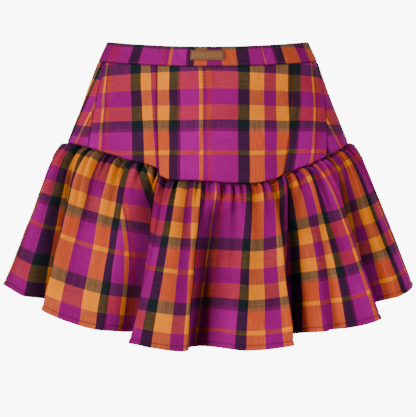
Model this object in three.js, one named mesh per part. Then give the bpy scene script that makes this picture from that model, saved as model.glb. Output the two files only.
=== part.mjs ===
// A mini skirt in woven cloth: a waistband, a fitted yoke of five panels and a gathered flounce.
// It keeps the hollow form that it has when it is filled out, and its waist is where it is held.
// Millimetres, +Z up. The front faces -Y, and +X is the right of someone who looks at the front.
// The origin is the middle of the waist ring, halfway up the waistband at the sides.

import * as THREE from 'three';

// Walls of cloth, and the room between two pieces at a seam.
const BAND_WALL = 2.4;
const YOKE_WALL = 1.6;
const FLOUNCE_WALL = 1.5;
const SEAM_GAP = 0.3;

// Rings of the skirt: half its width, its depth to the front and to the back of the origin,
// the height at the sides, and how far the ring drops at the middle of the front and of the back.
const RINGS = {
  waistTop: { half: 122.5, front: 96, back: 98, height: 12, frontDrop: 16, backDrop: -2 },
  waistSeam: { half: 133.5, front: 104, back: 108, height: -12.3, frontDrop: 15.5, backDrop: -2 },
  yokeSeam: { half: 171, front: 125, back: 134, height: -110.5 },
  hem: { half: 243, front: 172, back: 184 },
};
const DROP_POWER = 1.4;

// How far the seam of yoke and flounce drops below its height at the sides, all round.
const SEAM_DROPS = [
  { at: -90, drop: 0 },
  { at: -64, drop: 5 },
  { at: -46, drop: 14.5 },
  { at: -27, drop: 29.5 },
  { at: -19, drop: 38.8 },
  { at: -14, drop: 45.5 },
  { at: 0, drop: 49.5 },
  { at: 16, drop: 52 },
  { at: 27, drop: 46.5 },
  { at: 30.5, drop: 41 },
  { at: 45, drop: 28 },
  { at: 54, drop: 20 },
  { at: 67, drop: 10 },
  { at: 90, drop: 0 },
  { at: 125, drop: 14 },
  { at: 180, drop: 30 },
  { at: 235, drop: 14 },
  { at: 270, drop: 0 },
];

// The left side panel and the centre panel don't meet level: the seam steps down between them.
const SEAM_STEP = { at: -19, height: 7.5, fade: 8 };

// The flounce is 190 deep. It puffs out under its seam before it hangs.
const FLOUNCE_DEPTH = 190;
const PUFF_REACH = 13;
const PUFF_SHARE = 0.17;
const CREST_BULGE = 5;

// Valleys between the large folds, by their angle at the hem. Each has its depth, its width to
// either side, how far it leans under the fold beside it (towards the larger angles if positive),
// and the share of the flounce's depth at which it starts.
const VALLEYS = [
  { at: -88, depth: 24, before: 12, after: 13, lean: 0, start: 0.1 },
  { at: -55.5, depth: 26, before: 10, after: 12, lean: 7, start: 0.08 },
  { at: -24, depth: 22, before: 15, after: 9, lean: 8, start: 0.02 },
  { at: -2.4, depth: 33, before: 8, after: 22, lean: -7, start: 0.08 },
  { at: 25.6, depth: 36, before: 7.5, after: 14, lean: -7, start: 0.03 },
  { at: 36, depth: 5, before: 9, after: 9, lean: 0, start: 0.25 },
  { at: 57.3, depth: 30, before: 8.5, after: 16, lean: -8, start: 0.08 },
  { at: 93, depth: 20, before: 13, after: 13, lean: 4, start: 0.12 },
  { at: 118, depth: 28, before: 11, after: 15, lean: -6, start: 0.05 },
  { at: 143, depth: 24, before: 14, after: 11, lean: 6, start: 0.15 },
  { at: 168, depth: 28, before: 11, after: 14, lean: -6, start: 0.06 },
  { at: 193, depth: 26, before: 14, after: 11, lean: 6, start: 0.12 },
  { at: 219, depth: 26, before: 11, after: 15, lean: -5, start: 0.04 },
  { at: 246, depth: 24, before: 14, after: 12, lean: 5, start: 0.14 },
];
const VALLEY_POWER = 3;

// How much lower than on its ring the hem hangs where the cloth spreads less, all round.
const HEM_DROPS = [
  { at: -90, drop: -7 },
  { at: -72, drop: -6 },
  { at: -62, drop: -2 },
  { at: -54, drop: 3 },
  { at: -47, drop: 7.5 },
  { at: -36, drop: 9 },
  { at: -27, drop: 6 },
  { at: -21, drop: -2 },
  { at: -14, drop: 1.5 },
  { at: -7, drop: 4 },
  { at: -1, drop: 0 },
  { at: 4, drop: -2.5 },
  { at: 10, drop: 0 },
  { at: 28, drop: 0 },
  { at: 38, drop: 3.5 },
  { at: 52, drop: 4.5 },
  { at: 60, drop: -4 },
  { at: 67, drop: -7 },
  { at: 90, drop: -7 },
  { at: 120, drop: 2 },
  { at: 150, drop: -2 },
  { at: 182, drop: 2 },
  { at: 206, drop: -2 },
  { at: 235, drop: 2 },
  { at: 270, drop: -7 },
];

// Small gathers along the top of the flounce, which fade downwards.
const GATHER_HEIGHT = 1.1;
const GATHER_FADE = 0.24;

// Panels of the yoke, each with its own piece of flounce below it: their ends at the waist seam,
// at the flounce seam and at the hem, in degrees, and which side of the step in the seam they are.
const PANELS = [
  { name: 'front_left', top: [-67, -26], seam: [-55.4, -19], hem: [-52, -23], step: -1, gathers: 13 },
  { name: 'front_centre', top: [-26, 48.5], seam: [-19, 30.5], hem: [-23, 25.2], step: 1, gathers: 20 },
  { name: 'front_right', top: [48.5, 80], seam: [30.5, 54.6], hem: [25.2, 57], step: 0, gathers: 9 },
  { name: 'back_right', top: [80, 180], seam: [54.6, 180], hem: [57, 181], step: 0, gathers: 42 },
  { name: 'back_left', top: [180, 293], seam: [180, 304.6], hem: [181, 308], step: 0, gathers: 42 },
];
const YOKE_ROWS = [0, 0.3, 0.65, 1];
const FLOUNCE_ROWS = [0, 0.035, 0.09, 0.17, 0.28, 0.42, 0.58, 0.75, 0.9, 1];

// Lengths of the waistband.
const BANDS = [
  { name: 'waistband_front', from: -80, to: 80, columns: 28 },
  { name: 'waistband_back_right', from: 80, to: 180, columns: 16 },
  { name: 'waistband_back_left', from: 180, to: 280, columns: 16 },
];
const BAND_ROWS = [0, 0.5, 1];

// The leather patch on the middle of the front band.
const PATCH = { centre: -1, width: 39, height: 12.4, thickness: 1.5, share: 0.47, columns: 8 };

const COLOURS = { cloth: 0xa82c91, band: 0x9c3f7c, flounce: 0xb0459a, leather: 0x966e46 };

const radians = THREE.MathUtils.degToRad;
const mix = THREE.MathUtils.lerp;

// A value read from rows of a table, on a smooth curve through them.
function along(rows, at, column) {
  const last = rows.length - 1;
  let i = 0;
  while (i < last - 1 && at > rows[i + 1].at) i += 1;
  const slope = (k) => {
    const low = rows[Math.max(k - 1, 0)];
    const high = rows[Math.min(k + 1, last)];
    return (high[column] - low[column]) / (high.at - low.at);
  };
  const width = rows[i + 1].at - rows[i].at;
  const t = THREE.MathUtils.clamp((at - rows[i].at) / width, 0, 1);
  const rise = t * t * (3 - 2 * t);
  const ends = mix(rows[i][column], rows[i + 1][column], rise);
  const start = slope(i) * width * t * (1 - t) ** 2;
  return ends - slope(i + 1) * width * t * t * (1 - t) + start;
}

// A point of a ring in plan, at an angle in degrees from the middle of the front.
function onRing(ring, angle) {
  const a = radians(angle);
  const depth = Math.cos(a) > 0 ? ring.front : ring.back;
  return new THREE.Vector3(ring.half * Math.sin(a), -depth * Math.cos(a), 0);
}

// The direction along a ring, and the one out of it.
function ringDirections(ring, angle) {
  const step = 0.05;
  const alongIt = onRing(ring, angle + step).sub(onRing(ring, angle - step));
  const length = alongIt.length() / (2 * step);
  alongIt.normalize();
  return { outward: new THREE.Vector3(alongIt.y, -alongIt.x, 0), perDegree: length };
}

// Height of the two waist rings.
function waistHeight(ring, angle) {
  const turn = Math.cos(radians(angle));
  const drop = turn > 0 ? ring.frontDrop : ring.backDrop;
  return ring.height - drop * Math.abs(turn) ** DROP_POWER;
}

// An angle as the tables hold it, from -90 to 270.
function turned(angle) {
  return ((angle + 450) % 360) - 90;
}

// Height of the seam of yoke and flounce, and how far a piece's own edge lies below it.
function seamHeight(angle) {
  return RINGS.yokeSeam.height - along(SEAM_DROPS, turned(angle), 'drop');
}

function stepBelow(piece, angle) {
  const away = (angle - SEAM_STEP.at) / SEAM_STEP.fade;
  return (piece.step * SEAM_STEP.height * Math.exp(-away * away)) / 2;
}

function waistPoint(ringName, angle) {
  const point = onRing(RINGS[ringName], angle);
  point.z = waistHeight(RINGS[ringName], angle);
  return point;
}

// How much of a valley reaches an angle of the hem: 1 at its floor, 0 on the folds beside it.
function valleyShare(valley, angle) {
  const turn = ((angle - valley.at + 540) % 360) - 180;
  const away = turn * ringDirections(RINGS.hem, valley.at).perDegree;
  const width = away < 0 ? valley.before : valley.after;
  return Math.exp(-(Math.abs(away / width) ** VALLEY_POWER));
}

// The shift of the cloth from the hem's ring, at a share of the flounce's depth.
function foldShift(angle, share) {
  let inward = -CREST_BULGE * share;
  let sideways = 0;
  for (const valley of VALLEYS) {
    const grown = THREE.MathUtils.clamp((share - valley.start) / (1 - valley.start), 0, 1);
    const reached = valleyShare(valley, angle) * grown ** 0.9;
    inward += (valley.depth + CREST_BULGE) * reached;
    sideways += valley.lean * reached;
  }
  const { outward } = ringDirections(RINGS.hem, angle);
  const alongIt = new THREE.Vector3(-outward.y, outward.x, 0);
  return outward.multiplyScalar(-inward).addScaledVector(alongIt, sideways);
}

// How far the flounce puffs out below its edge, as a share of the way from the seam's ring out to
// the hem's. It is none at both ends.
function puffShare(belowEdge) {
  const below = Math.max(belowEdge, 0);
  return PUFF_SHARE * (1 - Math.exp(-below / PUFF_REACH) - Math.min(below / FLOUNCE_DEPTH, 1));
}

// A table of the folded hem: the angle that each length of cloth reaches.
function measureHem(from, to) {
  const steps = 600;
  const rows = [];
  let length = 0;
  let before = null;
  for (let i = 0; i <= steps; i += 1) {
    const angle = mix(from, to, i / steps);
    const here = onRing(RINGS.hem, angle).add(foldShift(angle, 1));
    if (before) length += here.distanceTo(before);
    rows.push({ length, angle });
    before = here;
  }
  return rows;
}

function angleAtLength(rows, length) {
  let low = 0;
  let high = rows.length - 1;
  while (high - low > 1) {
    const middle = Math.floor((low + high) / 2);
    if (rows[middle].length > length) high = middle;
    else low = middle;
  }
  const share = (length - rows[low].length) / (rows[high].length - rows[low].length);
  return mix(rows[low].angle, rows[high].angle, share);
}

// A closed wall of cloth. surface(u, v) gives its outer side, u along the piece and v down it.
// The relief, a function of the column and the row, moves both sides together. Thickness and
// relief are level, so that the edges of two pieces lie flat against each other at a seam.
function wall(surface, columns, rows, thickness, relief = () => 0) {
  const small = 0.0015;
  const outer = [];
  const inner = [];
  for (let i = 0; i <= columns; i += 1) {
    for (const v of rows) {
      const u = i / columns;
      const across = surface(u + small, v).sub(surface(u - small, v));
      const normal = new THREE.Vector3(across.y, -across.x, 0).normalize();
      const point = surface(u, v);
      const raised = relief(i, v);
      outer.push(point.clone().addScaledVector(normal, raised));
      inner.push(point.clone().addScaledVector(normal, raised - thickness));
    }
  }
  const count = outer.length;
  const last = rows.length - 1;
  const out = (i, j) => i * rows.length + j;
  const into = (i, j) => count + out(i, j);
  const faces = [];
  const quad = (a, b, c, d) => faces.push(a, b, c, a, c, d);
  for (let i = 0; i < columns; i += 1) {
    for (let j = 0; j < last; j += 1) {
      quad(out(i, j), out(i, j + 1), out(i + 1, j + 1), out(i + 1, j));
      quad(into(i, j), into(i + 1, j), into(i + 1, j + 1), into(i, j + 1));
    }
    quad(out(i, 0), out(i + 1, 0), into(i + 1, 0), into(i, 0));
    quad(out(i, last), into(i, last), into(i + 1, last), out(i + 1, last));
  }
  for (let j = 0; j < last; j += 1) {
    quad(out(0, j), into(0, j), into(0, j + 1), out(0, j + 1));
    quad(out(columns, j), out(columns, j + 1), into(columns, j + 1), into(columns, j));
  }
  const geometry = new THREE.BufferGeometry();
  const places = [...outer, ...inner].flatMap((p) => [p.x, p.y, p.z]);
  geometry.setAttribute('position', new THREE.Float32BufferAttribute(places, 3));
  geometry.setIndex(faces);
  geometry.computeVertexNormals();
  return geometry;
}

function piece(name, geometry, colour, roughness = 0.85) {
  const material = new THREE.MeshStandardMaterial({ color: colour, roughness, metalness: 0 });
  const mesh = new THREE.Mesh(geometry, material);
  mesh.name = name;
  return mesh;
}

// Angles a little inside both ends of a piece, so that it keeps its share of the seam's gap.
function between(ends, ring, u) {
  const room = SEAM_GAP / 2;
  const first = ends[0] + room / ringDirections(ring, ends[0]).perDegree;
  const second = ends[1] - room / ringDirections(ring, ends[1]).perDegree;
  return mix(first, second, u);
}

// A point at a share of the way from one point to another, short of both ends by the given rooms.
function partWay(top, bottom, v, topRoom, bottomRoom) {
  const length = top.distanceTo(bottom);
  return top.lerp(bottom, mix(topRoom / length, 1 - bottomRoom / length, v));
}

function bandSurface(band) {
  return (u, v) => {
    const top = waistPoint('waistTop', between([band.from, band.to], RINGS.waistTop, u));
    const bottom = waistPoint('waistSeam', between([band.from, band.to], RINGS.waistSeam, u));
    return partWay(top, bottom, v, 0, SEAM_GAP / 2);
  };
}

// Where a panel's own lower edge lies on the line that runs down from its waist seam.
function panelLine(panel, u) {
  const topAngle = between(panel.top, RINGS.waistSeam, u);
  const seamAngle = between(panel.seam, RINGS.yokeSeam, u);
  const top = waistHeight(RINGS.waistSeam, topAngle);
  const depth = top - seamHeight(seamAngle);
  const below = stepBelow(panel, seamAngle);
  return { topAngle, seamAngle, top, depth, below };
}

// The panels share one surface from the waist seam down, and each ends at its own lower edge.
function yokeSurface(panel) {
  const room = SEAM_GAP / 2;
  return (u, v) => {
    const line = panelLine(panel, u);
    const share = mix(room, line.depth + line.below - room, v) / line.depth;
    const angle = mix(line.topAngle, line.seamAngle, share);
    const place = onRing(RINGS.waistSeam, angle).lerp(onRing(RINGS.yokeSeam, angle), share);
    place.z = line.top - line.depth * share;
    return place;
  };
}

// The flounce is one folded surface too. Its cloth is evenly gathered into the seam. Where the
// seam steps, the join of two pieces follows the yoke's line down to the lower edge of the step.
function flounceSurface(panel) {
  const room = SEAM_GAP / 2;
  const hem = measureHem(panel.hem[0], panel.hem[1]);
  const cloth = hem[hem.length - 1].length;
  return (u, v) => {
    const line = panelLine(panel, u);
    const hemAngle = angleAtLength(hem, mix(room, cloth - room, u));
    const reach = onRing(RINGS.hem, hemAngle).distanceTo(onRing(RINGS.yokeSeam, hemAngle));
    const level = Math.sqrt(FLOUNCE_DEPTH ** 2 - reach ** 2);
    const fall = level + along(HEM_DROPS, turned(hemAngle), 'drop');
    const past = fall * v + line.below + room;
    const bend = Math.abs(line.below);
    const onYoke = mix(line.topAngle, line.seamAngle, (line.depth + Math.min(past, bend)) / line.depth);
    const angle = mix(onYoke, hemAngle, Math.max(past - bend, 0) / fall);
    const place = onRing(RINGS.yokeSeam, angle);
    place.lerp(onRing(RINGS.hem, angle), past / fall + puffShare(past - bend));
    place.add(foldShift(hemAngle, past / fall));
    place.z = line.top - line.depth - past;
    return place;
  };
}

function gatherRelief(columns) {
  return (i, v) => {
    if (i === 0 || i === columns) return 0;
    const uneven = 0.78 + 0.22 * Math.sin(i * 2.4) * Math.cos(i * 0.7);
    const side = i % 2 ? 1 : -1;
    return side * uneven * GATHER_HEIGHT * Math.exp(-((v / GATHER_FADE) ** 2));
  };
}

function patchSurface() {
  const band = bandSurface(BANDS[0]);
  const span = BANDS[0].to - BANDS[0].from;
  const perDegree = ringDirections(RINGS.waistTop, 0).perDegree;
  const high = waistPoint('waistTop', 0).distanceTo(waistPoint('waistSeam', 0));
  const middle = (PATCH.centre - BANDS[0].from) / span;
  const lift = SEAM_GAP + PATCH.thickness;
  return (u, v) => {
    const round = middle + ((u - 0.5) * PATCH.width) / perDegree / span;
    const down = PATCH.share + ((v - 0.5) * PATCH.height) / high;
    const point = band(round, down);
    const across = band(round + 0.001, down).sub(band(round - 0.001, down));
    const below = band(round, down + 0.01).sub(band(round, down - 0.01));
    return point.addScaledVector(below.cross(across).normalize(), lift);
  };
}

const skirt = new THREE.Group();
for (const band of BANDS) {
  const geometry = wall(bandSurface(band), band.columns, BAND_ROWS, BAND_WALL);
  skirt.add(piece(band.name, geometry, COLOURS.band));
}
const leather = wall(patchSurface(), PATCH.columns, [0, 1], PATCH.thickness);
skirt.add(piece('patch', leather, COLOURS.leather, 0.5));
for (const panel of PANELS) {
  const columns = panel.gathers * 2;
  const yoke = wall(yokeSurface(panel), columns, YOKE_ROWS, YOKE_WALL);
  skirt.add(piece(`yoke_${panel.name}`, yoke, COLOURS.cloth));
  const relief = gatherRelief(columns);
  const flounce = wall(flounceSurface(panel), columns, FLOUNCE_ROWS, FLOUNCE_WALL, relief);
  skirt.add(piece(`flounce_${panel.name}`, flounce, COLOURS.flounce));
}

export default skirt;
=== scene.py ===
import bpy
import numpy as np
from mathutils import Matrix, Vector


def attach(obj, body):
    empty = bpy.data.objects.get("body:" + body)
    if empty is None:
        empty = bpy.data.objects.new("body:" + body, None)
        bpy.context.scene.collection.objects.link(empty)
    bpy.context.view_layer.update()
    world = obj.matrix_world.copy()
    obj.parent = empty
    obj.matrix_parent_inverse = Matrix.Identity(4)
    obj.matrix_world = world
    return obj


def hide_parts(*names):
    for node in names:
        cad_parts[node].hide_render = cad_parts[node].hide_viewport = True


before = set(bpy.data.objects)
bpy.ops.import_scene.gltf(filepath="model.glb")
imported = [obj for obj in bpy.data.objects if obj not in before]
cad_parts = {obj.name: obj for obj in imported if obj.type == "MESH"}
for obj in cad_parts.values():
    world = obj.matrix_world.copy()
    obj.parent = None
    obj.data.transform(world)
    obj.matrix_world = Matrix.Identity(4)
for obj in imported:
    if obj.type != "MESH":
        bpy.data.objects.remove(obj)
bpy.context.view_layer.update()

MM = 0.001
GATHER_SEED = 7

# Rings of the skirt, as in the part: half its width, its depth to the front and to the back of
# the origin, the height at the sides, and the drops at the middle of the front and of the back.
WAIST_TOP = {
    "half": 122.5, "front": 96.0, "back": 98.0,
    "height": 12.0, "front_drop": 16.0, "back_drop": -2.0,
}
WAIST_SEAM = {
    "half": 133.5, "front": 104.0, "back": 108.0,
    "height": -12.3, "front_drop": 15.5, "back_drop": -2.0,
}
YOKE_SEAM = {"half": 171.0, "front": 125.0, "back": 134.0, "height": -110.5}
HEM = {"half": 243.0, "front": 172.0, "back": 184.0}
DROP_POWER = 1.4

# How far the seam of yoke and flounce drops below its height at the sides, by angle.
SEAM_DROPS = [
    (-90, 0), (-64, 5), (-46, 14.5), (-27, 29.5), (-19, 38.8), (-14, 45.5), (0, 49.5), (16, 52),
    (27, 46.5), (30.5, 41), (45, 28), (54, 20), (67, 10), (90, 0), (125, 14), (180, 30), (235, 14),
    (270, 0),
]
SEAM_STEP = {"at": -19.0, "height": 7.5, "fade": 8.0}

# The flounce's depth of cloth, how soon and how far it puffs out below its seam, and how far its
# folds bulge past the hem's ring.
FLOUNCE_DEPTH = 190.0
PUFF_REACH = 13.0
PUFF_SHARE = 0.17
CREST_BULGE = 5.0
# The gap between two pieces, and each piece's half of it.
SEAM_GAP = 0.3
ROOM = SEAM_GAP / 2

# Valleys between the large folds, by their angle at the hem: depth, width before and after it, how
# far each leans under the fold beside it, and the share of the flounce's depth at which it starts.
VALLEY_ROWS = [
    (-88, 24, 12, 13, 0, 0.1),
    (-55.5, 26, 10, 12, 7, 0.08),
    (-24, 22, 15, 9, 8, 0.02),
    (-2.4, 33, 8, 22, -7, 0.08),
    (25.6, 36, 7.5, 14, -7, 0.03),
    (36, 5, 9, 9, 0, 0.25),
    (57.3, 30, 8.5, 16, -8, 0.08),
    (93, 20, 13, 13, 4, 0.12),
    (118, 28, 11, 15, -6, 0.05),
    (143, 24, 14, 11, 6, 0.15),
    (168, 28, 11, 14, -6, 0.06),
    (193, 26, 14, 11, 6, 0.12),
    (219, 26, 11, 15, -5, 0.04),
    (246, 24, 14, 12, 5, 0.14),
]
VALLEY_COLUMNS = ("at", "depth", "before", "after", "lean", "start")
VALLEYS = [dict(zip(VALLEY_COLUMNS, row)) for row in VALLEY_ROWS]
VALLEY_POWER = 3.0

# How much lower than on its ring the hem hangs at an angle, where the cloth spreads less.
HEM_DROPS = [
    (-90, -7), (-72, -6), (-62, -2), (-54, 3), (-47, 7.5), (-36, 9), (-27, 6), (-21, -2),
    (-14, 1.5), (-7, 4), (-1, 0), (4, -2.5), (10, 0), (28, 0), (38, 3.5), (52, 4.5), (60, -4),
    (67, -7), (90, -7), (120, 2), (150, -2), (182, 2), (206, -2), (235, 2), (270, -7),
]

# Panels of the yoke, each with its own piece of flounce below it: the ends at the waist seam, at
# the flounce seam and at the hem, and the side of the step in the seam.
PANELS = [
    {"name": "front_left", "top": (-67, -26), "seam": (-55.4, -19), "hem": (-52, -23), "step": -1},
    {"name": "front_centre", "top": (-26, 48.5), "seam": (-19, 30.5), "hem": (-23, 25.2), "step": 1},
    {"name": "front_right", "top": (48.5, 80), "seam": (30.5, 54.6), "hem": (25.2, 57), "step": 0},
    {"name": "back_right", "top": (80, 180), "seam": (54.6, 180), "hem": (57, 181), "step": 0},
    {"name": "back_left", "top": (180, 293), "seam": (180, 304.6), "hem": (181, 308), "step": 0},
]
BANDS = [
    {"name": "waistband_front", "from": -80, "to": 80},
    {"name": "waistband_back_right", "from": 80, "to": 180},
    {"name": "waistband_back_left", "from": 180, "to": 280},
]

CLOTH_THICK = 0.7
BAND_THICK = 2.0
HEM_TURN = 5.6

# The cloth turned up inside at the top of the flounce: how far above the seam its rows lie, how far
# inside the yoke, and the yoke's usual depth.
ALLOWANCE = [8.0, 4.5, 1.5]
ALLOWANCE_IN = 2.2
# Cloth turned in along the side seams: how far past the edge, and how deep at either end.
SIDE_TURN = {"past": 0.6, "deep": (1.2, 2.4)}
YOKE_DEPTH = 115.0

# Where the stripes of the yoke lie: the place in the repeat by the distance from one end of the
# panel. At the flounce seam the cloth leans over by "lean", which fades away from that end over the
# fade's length. The distance is measured round the skirt, or level across the front where "level"
# is true, and "upright" panels keep their stripes upright beside a seam that isn't.
YOKE_WARP = {
    "front_left": {
        "end": "right", "lean": 7.5, "upright": True,
        "rows": [(0.0, 39.0), (8.6, 30.5), (21.1, 13.1), (35.0, 0.0), (235.0, -200.0)],
    },
    "front_centre": {
        "end": "left", "level": True, "upright": True, "rows": [(0.0, 45.0), (200.0, 245.0)],
    },
    "front_right": {"end": "left", "rows": [(0.0, 58.9), (200.0, 258.9)]},
    "back_right": {"end": "right", "rows": [(0.0, 370.0), (400.0, -30.0)]},
    "back_left": {"end": "left", "rows": [(0.0, -183.0), (400.0, 217.0)]},
}
LEAN_FADE = 75.0

# The back's stripes fan out from its middle by this share, at this many millimetres a degree.
YOKE_FAN = {"share": 0.6, "degree": 2.375}

# Where the rows of the yoke lie: the place in the repeat at the waist seam by the angle there, and
# one place for the back.
YOKE_WEFT = {"middle": 8.8, "fall": 9.7, "by": 54.0, "power": 1.5, "rate": 0.968, "back": -6.9}

# Widths of cloth in each flounce piece, with the place in the repeat by hem angle. Between two rows
# the cloth runs evenly, and past the ends it runs on at its own size. Its "kind" says how its rows
# across lie. At the seam its stripes have moved "over", and "spread" from its first row to its
# last. A "puckered" width starts at a join that shows as small waves.
FLOUNCE_WARP = {
    "front_left": [
        {"kind": "low", "rows": [(-50.5, 13.5), (-43.6, 30.5), (-39.6, 42.0)]},
        {"kind": "low", "puckered": True, "rows": [
            (-39.6, 33.6), (-36.0, 44.4), (-30.6, 58.9), (-28.7, 68.5),
        ]},
        {"kind": "low", "over": 58.0, "rows": [
            (-28.7, 68.5), (-26.9, 93.3), (-26.3, 97.8), (-24.2, 112.0),
        ]},
    ],
    "front_centre": [
        {"kind": "low", "rows": [
            (-20.0, 128.0), (-17.7, 138.0), (-14.8, 151.1), (-10.0, 168.5), (-6.5, 182.4),
            (-4.4, 189.0),
        ]},
        {"kind": "high", "spread": -16.0, "rows": [
            (-4.4, 66.0), (-4.1, 71.9), (-2.3, 93.3), (-1.8, 97.8), (3.2, 122.0), (6.9, 138.0),
            (9.8, 151.1), (14.9, 168.5), (19.7, 182.4), (22.0, 188.0),
        ]},
    ],
    "front_right": [
        {"kind": "right", "over": 24.0, "rows": [
            (27.1, 0.0), (28.5, 13.1), (31.3, 30.5), (36.4, 44.4), (39.1, 58.9), (42.4, 68.5),
            (50.4, 93.3), (52.0, 97.8), (57.0, 125.0),
        ]},
    ],
    "back_right": [{"kind": "side", "rows": [(57.0, 20.0), (61.8, 44.4), (67.0, 59.5)]}],
    "back_left": [
        {"kind": "low", "rows": [(284.0, 108.0), (300.3, 138.0), (302.4, 151.1), (308.0, 163.0)]},
    ],
}

# Rows across the flounce: the place in the repeat by the depth below the seam.
FLOUNCE_WEFT = {
    "low": [(0.0, 5.0), (190.0, 190.0)],
    "high": [(0.0, 93.0), (10.0, 102.0), (20.0, 107.0), (64.0, 138.0), (190.0, 262.0)],
    "right": [(0.0, 90.0), (11.0, 102.0), (56.0, 138.0), (124.0, 210.8), (190.0, 276.0)],
    "side": [(0.0, 90.0), (12.0, 102.0), (60.0, 138.0), (190.0, 267.0)],
}

# The band is cut the other way up, so that its stripes run backwards, by ring angle.
BAND_WARP = [
    (-80, 98.2), (-63.8, 102.3), (-54.4, 107.3), (-43.81, 137.9), (-43.8, 151.1), (-37.2, 138.0),
    (-20.4, 97.8), (-18.4, 93.3), (-9.8, 68.5), (-6.6, 58.9), (-0.3, 44.4), (7.5, 30.5),
    (15.3, 13.1), (22.0, 0.0), (29.2, -28.0), (29.7, -40.2), (30.7, -44.7), (36.5, -66.1),
    (43.5, -79.1), (56.0, -93.6), (67.0, -107.5), (80.0, -121.0),
]
BAND_DARK = {"top": 4.5, "right": 6.0}

# Soft creases as troughs, seen from the front or from behind, as places (x, z): from, to, how wide
# and how deep.
CREASES = {
    "band": {
        "front": [
            ((-36, -9.7), (-24.5, -21.8), 1.7, 1.14), ((-62.4, -9), (-62, -21), 1.6, 0.95),
            ((-70.5, -7), (-71.5, -16), 1.8, 0.76), ((-43, -14), (-45, -25), 1.5, 0.66),
            ((20, -10), (29, -22), 2.2, 0.76), ((31, -8), (35, -18), 2.0, 0.57),
            ((72, -6), (66, -18), 2.0, 0.76), ((-98, -2), (-102, -14), 2.0, 0.76),
        ],
        "back": [
            ((-60, 6), (-52, -6), 2.0, 0.95), ((-22, 8), (-24, -4), 1.8, 0.76),
            ((38, 7), (48, -6), 2.2, 0.95), ((84, 4), (82, -8), 1.8, 0.66),
        ],
    },
    "yoke": {
        "front": [
            ((-2.9, -26), (-4.2, -55), 1.8, 1.35), ((9.4, -32), (9.8, -48), 2.6, 0.75),
            ((-67.6, -27), (-66.5, -58), 3.0, 1.20), ((137, -70), (139, -112), 6.0, 2.40),
            ((-44, -92), (-10, -128), 9.0, 1.05), ((30, -60), (48, -112), 9.0, 0.90),
            ((-95, -50), (-84, -100), 8.0, 1.20), ((-122, -60), (-128, -108), 7.0, 1.35),
            ((102, -40), (96, -84), 6.0, 1.05), ((66, -30), (60, -52), 3.5, 0.75),
        ],
        "back": [
            ((-5, -12), (-3, -118), 3.0, 0.90), ((-50, -14), (-54, -52), 2.4, 1.35),
            ((52, -14), (57, -56), 2.6, 1.35), ((-108, -30), (-122, -96), 8.0, 1.35),
            ((96, -40), (110, -100), 9.0, 1.20), ((20, -80), (44, -122), 9.0, 0.90),
        ],
    },
    "flounce": {
        "front": [
            ((7, -170), (31, -216), 4.0, 1.6), ((16, -167), (38, -202), 4.0, 1.3),
            ((-115, -138), (-116, -184), 4.0, 3.0), ((-128, -150), (-146, -232), 6.0, 1.8),
            ((-92, -160), (-100, -230), 6.0, 1.6), ((-42, -180), (-44, -262), 6.0, 1.5),
            ((-24, -185), (-27, -240), 5.0, 1.3), ((47, -176), (50, -250), 6.0, 1.5),
            ((68, -180), (72, -300), 7.0, 1.2), ((104, -160), (114, -240), 5.0, 1.8),
            ((128, -140), (144, -230), 5.0, 1.8), ((-160, -150), (-186, -236), 7.0, 1.8),
            ((166, -140), (192, -226), 7.0, 1.8),
        ],
        "back": [
            ((-30, -150), (-44, -250), 7.0, 1.8), ((36, -150), (52, -232), 6.0, 1.8),
            ((-84, -140), (-104, -214), 6.0, 1.6), ((96, -138), (120, -240), 7.0, 1.8),
            ((-130, -132), (-160, -226), 7.0, 1.8), ((142, -130), (168, -210), 6.0, 1.5),
            ((4, -190), (10, -290), 8.0, 1.2),
        ],
    },
}

# Relief of the pieces: how high their soft swells are, how cloth rolls in at the sides and at the
# upper and lower ends as depth and width, and the pitch of their points at the front and the back.
FORMS = {
    "yoke": {"swell": 0.55, "side": (1.1, 1.5), "end": (0.7, 1.1), "front": 1.5, "back": 2.2},
    "flounce": {"swell": 0.9, "side": (0.7, 1.1), "end": (0.5, 0.9), "front": 1.6, "back": 2.3},
    "band": {"swell": 0.35, "side": (0.5, 0.9), "end": (0.5, 0.8)},
}
# Rows across the flounce lie closer down to this depth, at this pitch, for its gathers.
GATHERED_ROWS = (40.0, 1.4)
# The lengths of soft swells, how far the waves of a puckered join reach, and about a full turn.
SWELL_LENGTHS = (22, 58)
PUCKER_WIDE = 5.0
ROUND = 6.28


def mix(a, b, t):
    return a + (b - a) * t


def along(rows, at):
    """A value read from rows of places and values, on a smooth curve through them."""
    places, values = np.array(rows, float).T
    last = len(rows) - 1
    low = np.maximum(np.arange(last + 1) - 1, 0)
    high = np.minimum(np.arange(last + 1) + 1, last)
    slopes = (values[high] - values[low]) / (places[high] - places[low])
    i = np.clip(np.searchsorted(places, at, side="left") - 1, 0, last - 1)
    width = places[i + 1] - places[i]
    t = np.clip((at - places[i]) / width, 0, 1)
    ends = mix(values[i], values[i + 1], t * t * (3 - 2 * t))
    start = slopes[i] * width * t * (1 - t) ** 2
    return ends - slopes[i + 1] * width * t * t * (1 - t) + start


def turned(angle, lowest=-90.0):
    """The same angle, counted from the lowest one on."""
    return np.mod(angle - lowest, 360.0) + lowest


def run_along(path):
    """The length of a path up to each of its points, or of each path across a grid."""
    steps = np.linalg.norm(np.diff(path, axis=0), axis=-1)
    return np.concatenate([np.zeros_like(steps[:1]), np.cumsum(steps, axis=0)])


def on_ring(ring, angle):
    """Plan position on a ring, (..., 2)."""
    a = np.radians(angle)
    depth = np.where(np.cos(a) > 0, ring["front"], ring["back"])
    return np.stack([ring["half"] * np.sin(a), -depth * np.cos(a)], axis=-1)


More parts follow.
